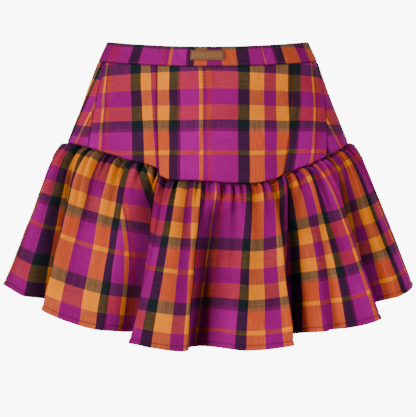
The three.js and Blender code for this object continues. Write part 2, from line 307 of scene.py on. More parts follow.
def ring_directions(ring, angle):
    """The direction out of a ring, and its length for each degree."""
    step = 0.05
    tangent = on_ring(ring, angle + step) - on_ring(ring, angle - step)
    length = np.linalg.norm(tangent, axis=-1)
    tangent = tangent / length[..., None]
    outward = np.stack([tangent[..., 1], -tangent[..., 0]], axis=-1)
    return outward, length / (2 * step)


def waist_height(ring, angle):
    turn = np.cos(np.radians(angle))
    drop = np.where(turn > 0, ring["front_drop"], ring["back_drop"])
    return ring["height"] - drop * np.abs(turn) ** DROP_POWER


def seam_height(angle):
    return YOKE_SEAM["height"] - along(SEAM_DROPS, turned(angle))


def step_below(panel, angle):
    away = (angle - SEAM_STEP["at"]) / SEAM_STEP["fade"]
    return panel["step"] * SEAM_STEP["height"] * np.exp(-away * away) / 2


def valley_share(valley, angle):
    """How far into a valley an angle lies, from 0 to 1."""
    per_degree = ring_directions(HEM, np.array(float(valley["at"])))[1]
    away = turned(angle - valley["at"], -180.0) * per_degree
    width = np.where(away < 0, valley["before"], valley["after"])
    return np.exp(-(np.abs(away / width) ** VALLEY_POWER))


def fold_shift(angle, share):
    """The shift in plan from the hem's ring, at a share of the flounce's depth."""
    inward = -CREST_BULGE * share
    sideways = np.zeros_like(share)
    for valley in VALLEYS:
        grown = np.clip((share - valley["start"]) / (1 - valley["start"]), 0, 1)
        reached = valley_share(valley, angle) * grown ** 0.9
        inward = inward + (valley["depth"] + CREST_BULGE) * reached
        sideways = sideways + valley["lean"] * reached
    outward = ring_directions(HEM, angle)[0]
    onward = np.stack([-outward[..., 1], outward[..., 0]], axis=-1)
    return onward * sideways[..., None] - outward * inward[..., None]


def puff_share(below_edge):
    """How far the flounce puffs out below its edge, as a share of the way to the hem's ring."""
    below = np.maximum(below_edge, 0)
    return PUFF_SHARE * (1 - np.exp(-below / PUFF_REACH) - np.minimum(below / FLOUNCE_DEPTH, 1))


def between(ends, ring, u):
    """Angles a little inside both ends of a piece, so that it keeps its share of the gap."""
    first = ends[0] + ROOM / ring_directions(ring, np.array(float(ends[0])))[1]
    second = ends[1] - ROOM / ring_directions(ring, np.array(float(ends[1])))[1]
    return mix(first, second, u)


def panel_line(panel, u):
    """Down one line of a panel for each share across: the angles at the waist seam and at the
    flounce seam, the height of the first, the depth between them and the step below it."""
    top_angle = between(panel["top"], WAIST_SEAM, u[:, None])
    seam_angle = between(panel["seam"], YOKE_SEAM, u[:, None])
    top = waist_height(WAIST_SEAM, top_angle)
    depth = top - seam_height(seam_angle)
    return top_angle, seam_angle, top, depth, step_below(panel, seam_angle)


def yoke_places(panel, u, v):
    """Points of a yoke panel's outer side, (columns, rows, 3), their angles and their depths."""
    top_angle, seam_angle, top, depth, below = panel_line(panel, u)
    share = mix(ROOM, depth + below - ROOM, v[None, :]) / depth
    angle = mix(top_angle, seam_angle, share)
    upper = on_ring(WAIST_SEAM, angle)
    lower = on_ring(YOKE_SEAM, angle)
    plan = upper + (lower - upper) * share[..., None]
    return np.concatenate([plan, (top - depth * share)[..., None]], axis=-1), angle, depth * share


def hem_lengths(panel):
    """Angles along a piece's hem and the length of folded cloth up to each."""
    angle = np.linspace(panel["hem"][0], panel["hem"][1], 2401)
    return angle, run_along(on_ring(HEM, angle) + fold_shift(angle, np.ones_like(angle)))


def flounce_places(panel, u, v):
    """Points of a flounce piece's outer side, (columns, rows, 3)."""
    top_angle, seam_angle, top, depth, below = panel_line(panel, u)
    angles, lengths = hem_lengths(panel)
    hem_angle = np.interp(mix(ROOM, lengths[-1] - ROOM, u), lengths, angles)
    spread = on_ring(HEM, hem_angle) - on_ring(YOKE_SEAM, hem_angle)
    reach = np.linalg.norm(spread, axis=-1)
    fall = np.sqrt(FLOUNCE_DEPTH ** 2 - reach ** 2) + along(HEM_DROPS, turned(hem_angle))
    fall = fall[:, None]
    past = fall * v[None, :] + below + ROOM
    bend = np.abs(below)
    on_yoke = mix(top_angle, seam_angle, (depth + np.minimum(past, bend)) / depth)
    angle = mix(on_yoke, hem_angle[:, None], np.maximum(past - bend, 0) / fall)
    upper = on_ring(YOKE_SEAM, angle)
    lower = on_ring(HEM, angle)
    plan = upper + (lower - upper) * (past / fall + puff_share(past - bend))[..., None]
    plan = plan + fold_shift(np.broadcast_to(hem_angle[:, None], past.shape), past / fall)
    height = top - depth - past
    return np.concatenate([plan, height[..., None]], axis=-1)


def normals_of(places):
    """Unit normals of a grid of points, on the side that is out of the skirt."""
    across = np.gradient(places, axis=0)
    down = np.gradient(places, axis=1)
    normal = np.cross(down, across)
    return normal / np.linalg.norm(normal, axis=-1, keepdims=True)


def add_object(name, data):
    obj = bpy.data.objects.new(name, data)
    bpy.context.scene.collection.objects.link(obj)
    return obj


def make_object(name, points, faces):
    mesh = bpy.data.meshes.new(name)
    mesh.from_pydata((points * MM).tolist(), [], faces.tolist())
    mesh.shade_smooth()
    return add_object(name, mesh)


def shell(name, outer, inner, chart, edge):
    """A closed thin wall between two grids of points. Its cloth coordinates are in metres, and so is
    the distance to the nearest seam, which is kept beside the painted shade for how deep in a fold
    or gather a point lies."""
    columns, rows = outer.shape[:2]
    count = columns * rows
    index = np.arange(count).reshape(columns, rows)
    faces = []

    def quads(a, b, c, d):
        faces.append(np.stack([a.ravel(), b.ravel(), c.ravel(), d.ravel()], axis=1))

    quads(index[:-1, :-1], index[:-1, 1:], index[1:, 1:], index[1:, :-1])
    inside = index + count
    quads(inside[:-1, :-1], inside[1:, :-1], inside[1:, 1:], inside[:-1, 1:])
    quads(index[:-1, 0], index[1:, 0], inside[1:, 0], inside[:-1, 0])
    quads(index[:-1, -1], inside[:-1, -1], inside[1:, -1], index[1:, -1])
    quads(index[0, :-1], inside[0, :-1], inside[0, 1:], index[0, 1:])
    quads(index[-1, :-1], index[-1, 1:], inside[-1, 1:], inside[-1, :-1])
    faces = np.concatenate(faces)
    obj = make_object(name, np.concatenate([outer.reshape(-1, 3), inner.reshape(-1, 3)]), faces)
    for title, values in {"cloth": chart * MM, "edge": edge}.items():
        layer = obj.data.uv_layers.new(name=title)
        flat = np.tile(values.reshape(-1, 2), (2, 1))
        layer.uv.foreach_set("vector", flat[faces.ravel()].ravel().astype(np.float32))
    return obj


def edge_chart(from_seam, deep):
    from_seam, deep = np.broadcast_arrays(from_seam * MM, deep)
    return np.stack([from_seam, deep], axis=-1)


def dress(obj, material, slot, *nodes):
    """Gives a piece its material, lets it ride, and hides the model's parts that it stands for; slot
    is not used.
    """
    obj.data.materials.append(material)
    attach(obj, "root")
    if nodes:
        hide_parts(*nodes)


def with_allowance(panel, u, v, inside, grids):
    """Adds rows for the cloth turned in at the top, inside the yoke's places at those shares."""
    turned_in = yoke_places(panel, u, v)[0]
    away = normals_of(turned_in)
    upper = turned_in - away * inside
    chart, edge = grids[2:]
    above = np.array([(0.0, at) for at in ALLOWANCE])[None]
    seam = np.zeros_like(edge[:, : len(ALLOWANCE)])
    added = (upper, upper - away * CLOTH_THICK, chart[:, :1] + above, seam)
    return [np.concatenate(pair, axis=1) for pair in zip(added, grids)]


def with_sides(grids):
    """Adds the cloth turned in along both sides, under the neighbour's edge and clear of it."""
    outer, inner, chart, edge = grids
    normal = normals_of(outer)
    ends = []
    for k, ahead in enumerate([outer[0] - outer[1], outer[-1] - outer[-2]]):
        ahead = ahead / np.linalg.norm(ahead, axis=-1, keepdims=True)
        ends.append(ahead * SIDE_TURN["past"] - normal[-k] * SIDE_TURN["deep"][k])
    seam = np.zeros_like(edge[:1])
    return (
        np.concatenate([outer[:1] + ends[0], outer, outer[-1:] + ends[1]]),
        np.concatenate([inner[:1] + ends[0], inner, inner[-1:] + ends[1]]),
        np.concatenate([chart[:1], chart, chart[-1:]]),
        np.concatenate([seam, edge, seam]),
    )


def side_of(panel):
    return panel["name"].split("_")[0]


def area_of(places):
    """Area of a grid of points, in square metres."""
    across = np.diff(places, axis=0)[:, :-1]
    down = np.diff(places, axis=1)[:-1]
    return float(np.linalg.norm(np.cross(across, down), axis=-1).sum() * MM * MM)


def steps_between(length, pitch, near_ends=(0.35, 0.9, 1.8), extra=()):
    """Shares along a length: even steps, a few close to both ends, and the extra places."""
    even = np.linspace(0, length, max(int(length / pitch), 8))
    ends = [e for near in near_ends for e in (near, length - near)]
    places = np.unique(np.round(np.concatenate([even, ends, list(extra)]), 3))
    return places / length


def bump(distance, wide, power=2.0):
    return np.exp(-(np.abs(distance) / wide) ** power)


def crease_relief(places, sides):
    """Troughs along short, slightly bent lines, in the view from the front or from behind."""
    x, y, z = places[..., 0], places[..., 1], places[..., 2]
    relief = np.zeros(x.shape)
    for side, lines in sides.items():
        seen = np.where((y < 0) == (side == "front"), 1.0, 0.0)
        for (x0, z0), (x1, z1), wide, deep in lines:
            run, rise = x1 - x0, z1 - z0
            length = np.hypot(run, rise)
            part = ((x - x0) * run + (z - z0) * rise) / length ** 2
            off = ((x - x0) * rise - (z - z0) * run) / length
            bend = 0.05 * length * np.sin(np.pi * np.clip(part, 0, 1))
            ends = np.clip(part * 4, 0, 1) * np.clip((1 - part) * 2.2, 0, 1)
            ends = ends * ends * (3 - 2 * ends)
            relief -= deep * seen * ends * bump(off - bend, wide)
    return relief


def soft_relief(places, seed, height):
    """Low uneven swells all over a piece of cloth."""
    draws = np.random.default_rng(seed).random((7, 4))
    relief = np.zeros(places.shape[:2])
    for turn, size, start, share in draws:
        direction = np.array([np.cos(turn * ROUND), np.sin(turn * ROUND), 0.6 * np.sin(turn * 9)])
        phase = places @ direction * (ROUND / mix(*SWELL_LENGTHS, size)) + start * ROUND
        relief += np.sin(phase) * mix(0.4, 1.0, share)
    return relief * height / 4


# Gathers along the flounce seam, small ones, longer soft folds and fine puckers: their pitch at the
# seam, how uneven they are, how deep, wide and long, how they open downward, and, as their tone, how
# much painted shade darkens their valleys.
# Lengths are shares of the flounce's depth.
GATHERS = [
    {
        "pitch": 8.4, "uneven": 0.36, "deep": (2.6, 6.4), "wide": (1.7, 2.9),
        "long": (0.1, 0.3), "open": 2.6, "tone": 1.0,
    },
    {
        "pitch": 24.0, "uneven": 0.42, "deep": (2.4, 6.2), "wide": (2.6, 4.2),
        "long": (0.4, 0.95), "open": 2.0, "tone": 0.8,
    },
    {
        "pitch": 4.9, "uneven": 0.4, "deep": (1.0, 2.8), "wide": (0.8, 1.4),
        "long": (0.05, 0.13), "open": 5.0, "tone": 0.85,
    },
]
# How far the gathered cloth stands out between its gathers.
GATHER_RISE = 3.4


def gather_relief(seed, seam_length, u, v):
    """Uneven gathers, held in the seam and fading down the flounce, and the painted shade of their
    valleys.
    """
    relief = np.zeros((len(u), len(v)))
    shade = np.zeros((len(u), len(v)))
    for size, kind in enumerate(GATHERS):
        count = int(round(seam_length / kind["pitch"]))
        draws = np.random.default_rng(GATHER_SEED * 1000 + seed + 50 * size).random((6, count))
        middles = (np.arange(count) + 0.5 + (draws[0] - 0.5) * 2 * kind["uneven"]) / count
        for k in range(count):
            deep = mix(*kind["deep"], draws[1][k] ** 1.3)
            reach = mix(*kind["long"], draws[2][k] ** 1.6)
            lean = (draws[3][k] - 0.5) * 16
            away = (u[:, None] - middles[k]) * seam_length - lean * v[None, :] ** 1.3
            steep = np.where(away * (draws[5][k] - 0.5) > 0, 0.75, 1.35)
            wide = steep * mix(*kind["wide"], draws[4][k]) * (1 + kind["open"] * v[None, :])
            held = 0.75 + 0.25 * np.clip(v / 0.02, 0, 1)
            fade = held * np.exp(-(v / reach) ** 1.6)
            valley = fade[None, :] * np.exp(-np.abs(away / wide) ** 1.6)
            relief -= deep * valley
            # Painted shade: the gather valleys are darkened in the colour, by their tone.
            shade = np.maximum(shade, valley ** 0.8 * kind["tone"] * mix(0.6, 1.0, draws[1][k]))
    crest = GATHER_RISE * np.exp(-(v / 0.25) ** 1.5) * np.clip(v / 0.02, 0, 1)
    return relief + crest[None, :], shade


def seam_roll(distance, deep, wide):
    """Cloth turns in towards a seam."""
    return -deep * np.exp(-(np.abs(distance) / wide) ** 1.5)


def yoke_chart(panel, places, angle, down):
    """Where each point of a yoke panel lies in the plaid, in millimetres."""
    rule = YOKE_WARP[panel["name"]]
    arc = run_along(places[..., : 1 if rule.get("level") else 2])
    edge = places[0, :, 0]
    if rule["end"] == "right":
        arc = arc[-1:] - arc
        edge = -places[-1, :, 0]
    if rule.get("upright"):
        arc = arc + (edge - edge[0])[None, :]
    away = np.abs(turned(angle, -180.0))
    start = YOKE_WEFT["middle"] - YOKE_WEFT["fall"] * (away / YOKE_WEFT["by"]) ** YOKE_WEFT["power"]
    if side_of(panel) == "back":
        arc = mix(arc, (180.0 - away) * YOKE_FAN["degree"], YOKE_FAN["share"])
        start = YOKE_WEFT["back"]
    lean = rule.get("lean", 0.0) * down / down.max() * bump(arc, LEAN_FADE)
    distances, values = np.array(rule["rows"]).T
    warp = np.interp(np.abs(arc + lean), distances, values)
    weft = start + YOKE_WEFT["rate"] * down
    return np.stack([warp, -weft], axis=-1), arc


def make_yoke(panel, seed, material):
    form = FORMS["yoke"]
    coarse = yoke_places(panel, np.linspace(0, 1, 40), np.linspace(0, 1, 12))[0]
    wide = area_of(coarse) / MM / MM / YOKE_DEPTH
    u = steps_between(wide, form[side_of(panel)])
    v = steps_between(120.0, 1.5)
    places, angle, down = yoke_places(panel, u, v)
    chart, arc = yoke_chart(panel, places, angle, down)
    from_side = np.minimum(u, 1 - u)[:, None] * wide
    from_end = np.minimum(down - down[:, :1], down[:, -1:] - down)
    relief = soft_relief(places, seed, form["swell"]) + crease_relief(places, CREASES["yoke"])
    relief = relief * np.clip(from_side / 3, 0, 1) * np.clip(from_end / 3, 0, 1)
    relief = relief + seam_roll(from_side, *form["side"]) + seam_roll(from_end, *form["end"])
    drawn = 0.22 * np.sin(down / 1.5 + 2 * np.sin(down / 9.0) + seed) * bump(from_side - 2.4, 2.0)
    outer = places + normals_of(places) * (relief + drawn)[..., None]
    inner = outer - normals_of(places) * CLOTH_THICK
    edge = edge_chart(np.minimum(from_side, from_end), 0.0)
    shares = -np.array(ALLOWANCE) / YOKE_DEPTH
    grids = with_allowance(panel, u, shares, BAND_THICK + 0.5, (outer, inner, chart, edge))
    obj = shell("cloth_yoke_" + panel["name"], *with_sides(grids))
    dress(obj, material, "yoke_cloth", "yoke_" + panel["name"])


def pucker(away, down, high):
    """Small uneven waves across a puckered join."""
    waves = np.sin(down / 2.6 + 2.4 * np.sin(down / 11.0)) + 0.5 * np.sin(down / 1.3 + away / 2)
    return high / 1.5 * waves * bump(away, PUCKER_WIDE)


def flounce_chart(panel, length, down):
    """Where each point of a flounce piece lies in the plaid, in millimetres, and the joins."""
    angles, lengths = hem_lengths(panel)
    warp = np.zeros((len(length), len(down)))
    weft = np.zeros((len(length), len(down)))
    joins = []
    for n, width in enumerate(FLOUNCE_WARP[panel["name"]]):
        at_hem, values = np.array(width["rows"]).T
        places = np.interp(at_hem, angles, lengths)
        puckered = width.get("puckered", False)
        part = (length - places[0]) / (places[-1] - places[0])
        over = width.get("over", 0.0) + width.get("spread", 0.0) * np.clip(part, 0, 1)
        at = length[:, None] + over[:, None] * ((1 - down / FLOUNCE_DEPTH) ** 3)[None, :]
        here = np.interp(at, places, values)
        here += np.minimum(at - places[0], 0) + np.maximum(at - places[-1], 0)
        if puckered:
            here += pucker(length[:, None] - places[0], down[None, :], 1.9)
        mine = (length >= (places[0] if n else -1))[:, None]
        if n:
            joins.append((places[0], puckered))
        kind = np.array(FLOUNCE_WEFT[width["kind"]])
        warp = np.where(mine, here, warp)
        weft = np.where(mine, np.interp(down, kind[:, 0], kind[:, 1])[None, :], weft)
    return np.stack([warp, -weft], axis=-1), joins


def fold_depth(panel, length, v):
    """How deep each point lies between two folds, from 0 to 1, for the painted shade in the valleys.
    """
    angles, lengths = hem_lengths(panel)
    angle = np.interp(length, lengths, angles)[:, None]
    deep = np.zeros((len(length), len(v)))
    for valley in VALLEYS:
        grown = np.clip((v[None, :] - valley["start"] + 0.04) / 0.16, 0, 1)
        size = min(valley["depth"] / 26, 1.0)
        deep = np.maximum(deep, valley_share(valley, angle) * grown * size)
    return deep


def make_flounce(panel, seed, material, thread):
    form = FORMS["flounce"]
    cloth = hem_lengths(panel)[1][-1]
    joins = flounce_chart(panel, np.array([0.0, cloth]), np.array([0.0]))[1]
    pairs = [at + side for at, _ in joins for side in (-0.02, 0.02)]
    u = steps_between(cloth, form[side_of(panel)], extra=pairs)
    near_hem = np.array([0.5, 1.2, HEM_TURN - 0.7, HEM_TURN, HEM_TURN + 0.7])
    near_top = np.arange(0.0, *GATHERED_ROWS)
    v = steps_between(FLOUNCE_DEPTH, 2.6, extra=[*near_top, *(FLOUNCE_DEPTH - near_hem)])
    down = v * FLOUNCE_DEPTH
    length = u * cloth
    places = flounce_places(panel, u, v)
    chart, _ = flounce_chart(panel, length, down)
    seam_length = run_along(places[:, 0])[-1]
    from_side = np.minimum(u, 1 - u)[:, None] * mix(seam_length, cloth, v)[None, :]
    from_top = down[None, :]
    from_hem = FLOUNCE_DEPTH - from_top
    relief, shade = gather_relief(seed, seam_length, u, v)
    relief = relief + soft_relief(places, 40 + seed, form["swell"])
    relief = relief + crease_relief(places, CREASES["flounce"])
    relief = relief * np.clip(from_side / 3, 0, 1)
    relief = relief + seam_roll(from_side, *form["side"]) + seam_roll(from_top, *form["end"])
    from_seam = np.minimum(from_side, from_top)
    for at, puckered in joins:
        away = length[:, None] - at
        relief = relief - 0.6 * bump(away, 1.3) * np.clip(1.2 - v, 0.4, 1)[None, :]
        if puckered:
            relief = relief + pucker(away, from_top, 0.6)
        from_seam = np.minimum(from_seam, np.abs(away) + (1.1 if puckered else 0.5))
    from_seam = np.minimum(from_seam, 1.4 * np.abs(from_hem - HEM_TURN) + 0.25)
    # Painted shade: how deep in a fold or gather each point lies, kept for darkening its colour.
    edge = edge_chart(from_seam, np.maximum(fold_depth(panel, length, v), shade))
    turned_up = np.clip((HEM_TURN - from_hem) / 0.8, 0, 1)
    pull = 0.18 * np.sin(length / 1.9 + 2 * np.sin(length / 11.0))[:, None]
    relief = relief + (0.35 + pull) * turned_up - 0.9 * bump(from_hem - HEM_TURN, 0.9)
    outer = places + normals_of(places) * relief[..., None]
    normal = normals_of(outer)
    thick = CLOTH_THICK * (1 + 1.1 * turned_up * np.clip(from_hem / 0.9, 0.2, 1))
    inner = outer - normal * thick[..., None]
    shares = 1 - np.array(ALLOWANCE) / YOKE_DEPTH
    grids = with_allowance(panel, u, shares, ALLOWANCE_IN, (outer, inner, chart, edge))
    obj = shell("cloth_flounce_" + panel["name"], *with_sides(grids))
    dress(obj, material, "flounce_cloth", "flounce_" + panel["name"])
    row = int(np.argmin(np.abs(from_hem[0] - HEM_TURN)))
    stitches("hem_stitches_" + panel["name"], outer[:, row], normal[:, row], "hem", thread)


# One stitch: places along its length, how thick it is there and how far it is lifted, as shares.
BEAD = [(-0.5, 0.3, -0.6), (-0.3, 0.85, 0.35), (0.0, 1.0, 0.7), (0.3, 0.85, 0.35), (0.5, 0.3, -0.6)]
BEAD_SIDES = 6
# Rows of stitches: how long and how far apart they are, and half the thread's thickness.
STITCHES = {"hem": (2.3, 0.9, 0.2), "band": (2.2, 0.9, 0.17), "patch": (1.9, 0.8, 0.22)}


def stitches(name, path, normals, kind, thread):
    """A row of short threads along a path, each one a slim bead that dips in at both ends."""
    long, gap, thick = STITCHES[kind]
    run = run_along(path)
    count = int((run[-1] - gap) / (long + gap))
    middle = gap + (np.arange(count) + 0.5) * (run[-1] - gap) / count

    def read(values, place):
        return np.stack([np.interp(place, run, values[:, k]) for k in range(3)], axis=-1)

    at = read(path, middle)
    up = read(normals, middle)
    forward = read(path, middle + 0.5) - read(path, middle - 0.5)
    forward /= np.linalg.norm(forward, axis=1)[:, None]
    side = np.cross(up, forward)
    side /= np.linalg.norm(side, axis=1)[:, None]
    points = np.zeros((count, len(BEAD), BEAD_SIDES, 3))
    for i, (along_it, fat, lift) in enumerate(BEAD):
        for k in range(BEAD_SIDES):
            turn = 2 * np.pi * k / BEAD_SIDES
            off = fat * thick * (np.cos(turn) * side + np.sin(turn) * up)
            points[:, i, k] = at + forward * along_it * long + up * lift * thick + off
    faces = []
    for ring in range(0, (len(BEAD) - 1) * BEAD_SIDES, BEAD_SIDES):
        for k in range(BEAD_SIDES):
            corners = ring + np.array([k, (k + 1) % BEAD_SIDES])
            faces.append([*corners, *(corners[::-1] + BEAD_SIDES)])
    end = (len(BEAD) - 1) * BEAD_SIDES
    faces += [[0, 5, 4, 3], [0, 3, 2, 1]]
    faces += [[end, end + 1, end + 2, end + 3], [end, end + 3, end + 4, end + 5]]
    starts = np.arange(count) * (end + BEAD_SIDES)
    all_faces = (np.array(faces)[None] + starts[:, None, None]).reshape(-1, 4)
    dress(make_object(name, points.reshape(-1, 3), all_faces), thread, "thread")


def ring_points(ring, angle):
    return np.concatenate([on_ring(ring, angle), waist_height(ring, angle)[..., None]], axis=-1)


def band_places(band, u, v):
    """Points of a waistband's outer side, for shares along it and down it."""
    ends = (band["from"], band["to"])
    top_angle = between(ends, WAIST_TOP, u)
    top = ring_points(WAIST_TOP, top_angle)
    low = ring_points(WAIST_SEAM, between(ends, WAIST_SEAM, u))
    high = np.linalg.norm(low - top, axis=-1)
    return top + (low - top) * (v * (1 - ROOM / high))[..., None], top_angle, high


# Rows of stitches by their distance from the band's upper edge, its height and its length in
# millimetres a degree, and where the plaid of the back's two bands starts.
BAND_STITCHES = [1.5, 4.0, 22.6]
BAND_HIGH = 24.4
BAND_DEGREE = 2.0
BACK_BAND_START = 40.0


def make_band(band, seed, material, thread):
    form = FORMS["band"]
    wide = (band["to"] - band["from"]) * BAND_DEGREE
    u = steps_between(wide, 1.5)
    v = steps_between(BAND_HIGH, 1.0, near_ends=(0.2, 0.5, 0.9), extra=BAND_STITCHES)
    places, angle, high = band_places(band, *np.meshgrid(u, v, indexing="ij"))
    arc = run_along(places)
    down = v * high
    from_low = high - down
    from_side = np.minimum(u, 1 - u)[:, None] * wide
    relief = crease_relief(places, CREASES["band"]) + soft_relief(places, 70 + seed, form["swell"])
    for at in BAND_STITCHES:
        pull = 0.16 + 0.07 * np.sin(arc / 2.1 + at + 1.5 * np.sin(arc / 17.0))
        relief = relief - pull * bump(down - at, 0.7)
    relief = relief + seam_roll(from_side, *form["side"]) + seam_roll(from_low, *form["end"])
    normal = normals_of(places)
    half = BAND_THICK / 2
    near = np.clip(np.minimum(down, from_low) / half, 0, 1)
    round_edge = half * (1 - np.sqrt(np.clip(1 - (1 - near) ** 2, 0.02, 1)))
    outer = places + normal * (relief - round_edge)[..., None]
    inner = places + normal * (relief - BAND_THICK + round_edge)[..., None]
    warp = np.broadcast_to(BACK_BAND_START * seed - arc[:, len(v) // 2, None], arc.shape)
    dark = BAND_DARK["top"]
    if band["name"] == "waistband_front":
        warp = np.interp(angle, *np.array(BAND_WARP).T)
        dark = dark + BAND_DARK["right"] * np.clip((angle - 45) / 35, 0, 1)
    chart = np.stack([warp, down - dark], axis=-1)
    from_seam = np.minimum(np.minimum(from_side, from_low), np.abs(down - BAND_STITCHES[0]) + 1.0)
    obj = shell("cloth_" + band["name"], outer, inner, chart, edge_chart(from_seam, 0.0))
    dress(obj, material, "band_cloth", band["name"])
    title = band["name"].replace("waistband", "band_stitches")
    for n, at in enumerate(BAND_STITCHES):
        row = int(np.argmin(np.abs(v * BAND_HIGH - at)))
        stitches(f"{title}_{n}", outer[:, row], normal[:, row], "band", thread)


# The leather patch on the front band: its middle in degrees and as a share of the way down, half its
# width and height, its corners and thickness, and the pressed line's inset and depth.
PATCH = {
    "centre": -0.2, "half_width": 18.9, "half_height": 6.2, "corner": 1.6,
    "thick": 1.5, "share": 0.47, "inset": 1.35, "pressed": 0.28,
}


def patch_places(x, y, lift):
    """Points over the front band, for millimetres from the patch's middle and above the band."""
    band = BANDS[0]
    per_degree = ring_directions(WAIST_TOP, np.array(0.0))[1]
    u = (PATCH["centre"] + x / per_degree - band["from"]) / (band["to"] - band["from"])
    v = PATCH["share"] + y / BAND_HIGH
    step = 0.002
    here = band_places(band, u, v)[0]
    across = band_places(band, u + step, v)[0] - band_places(band, u - step, v)[0]
    below = band_places(band, u, v + step)[0] - band_places(band, u, v - step)[0]
    normal = np.cross(below, across)
    normal /= np.linalg.norm(normal, axis=-1, keepdims=True)
    return here + normal * np.asarray(lift)[..., None], normal


def round_corners(x, y, half_width, half_height, corner):
    """Bends the corners of a grid over a rectangle into arcs."""
    past_x = np.clip((np.abs(x) - half_width + corner) / corner, 0, 1)
    past_y = np.clip((np.abs(y) - half_height + corner) / corner, 0, 1)
    less_x = past_x * (1 - np.sqrt(1 - past_y ** 2 / 2)) * corner
    less_y = past_y * (1 - np.sqrt(1 - past_x ** 2 / 2)) * corner
    return x - np.sign(x) * less_x, y - np.sign(y) * less_y


def make_patch(leather, thread):
    wide, high = PATCH["half_width"], PATCH["half_height"]
    near_ends = (0.15, 0.4, 0.9, 1.35)
    x = (steps_between(2 * wide, 0.7, near_ends) - 0.5) * 2 * wide
    y = (steps_between(2 * high, 0.6, near_ends) - 0.5) * 2 * high
    x, y = np.meshgrid(x, y, indexing="ij")
    edge = np.minimum(wide - np.abs(x), high - np.abs(y))
    x, y = round_corners(x, y, wide, high, PATCH["corner"])
    groove = PATCH["pressed"] * bump(edge - PATCH["inset"], 0.55)
    swell = 0.08 * np.sin(x / 5.3 + 1) + 0.06 * np.sin(x / 9.0 - 1)
    lift = PATCH["thick"] * (0.3 + 0.7 * np.sqrt(np.clip(edge / 0.7, 0, 1))) - groove
    lift = lift + swell * np.clip(edge / 2.5, 0, 1)
    outer, _ = patch_places(x, y, SEAM_GAP + lift)
    inner, _ = patch_places(x, y, np.full(x.shape, SEAM_GAP))
    pressed = edge_chart(np.abs(edge - PATCH["inset"]), 0.0)
    obj = shell("leather_patch", outer, inner, np.stack([x, y], axis=-1), pressed)
    dress(obj, leather, "leather", "patch")
    inset, corner = PATCH["inset"], PATCH["corner"]
    wide, high, corner = wide - inset, high - inset, corner * 0.5
    turn = np.linspace(0, np.pi / 2, 6)
    loop = []
    for k, (sx, sy) in enumerate([(1, 1), (-1, 1), (-1, -1), (1, -1)]):
        angle = turn + k * np.pi / 2
        round_x = sx * (wide - corner) + corner * np.cos(angle)
        round_y = sy * (high - corner) + corner * np.sin(angle)
        loop.append(np.stack([round_x, round_y], axis=-1))
    loop = np.concatenate(loop)
    loop = np.concatenate([loop, loop[:1]])
    run = run_along(loop)
    at = np.linspace(0, run[-1], 260)
    line_x, line_y = np.interp(at, run, loop[:, 0]), np.interp(at, run, loop[:, 1])
    path, normal = patch_places(line_x, line_y, np.full(at.shape, SEAM_GAP + PATCH["thick"] - 0.2))
    stitches("patch_stitches", path, normal, "patch", thread)


# Colours of the yarns, linear.
YARNS = {
    "dark": (0.009, 0.015, 0.019),
    "orange": (1.0, 0.255, 0.0008),
    "magenta": (0.33, 0.0004, 0.19),
    "bright": (0.38, 0.0004, 0.24),
    "deep": (0.25, 0.0004, 0.135),
    "plum": (0.08, 0.004, 0.05),
    "rose": (0.42, 0.012, 0.08),
}
# Yarns seen side by side mix as the eye sees them, so they are mixed before this power.
EYE = 2.7

# The plaid as one repeat of yarns, widths in millimetres: across the cloth, then down it.
WARP = [
    ("dark", 13.1), ("orange", 17.4), ("deep", 13.9), ("orange", 14.5), ("dark", 9.6),
    ("plum", 3.4), ("bright", 21.4), ("orange", 4.5), ("deep", 4.5), ("rose", 5.0),
    ("magenta", 30.7),
]
WEFT = [
    ("dark", 14.0), ("orange", 19.5), ("deep", 18.0), ("orange", 16.5), ("dark", 9.5),
    ("plum", 3.5), ("bright", 21.0), ("orange", 5.0), ("magenta", 31.0),
]
WARP_SHARE = 0.64
TWILL_PITCH = 0.8
# Slubs in the yarns, in noise waves a metre.
SLUB = {"thin": 1900.0, "long": 45.0}
# Painted shade: the deepest cloth between two folds, and in the gathers' valleys, is painted darker,
# to this share of the colour of the folds' crests.
PAINTED_FOLD_SHADE = 0.22


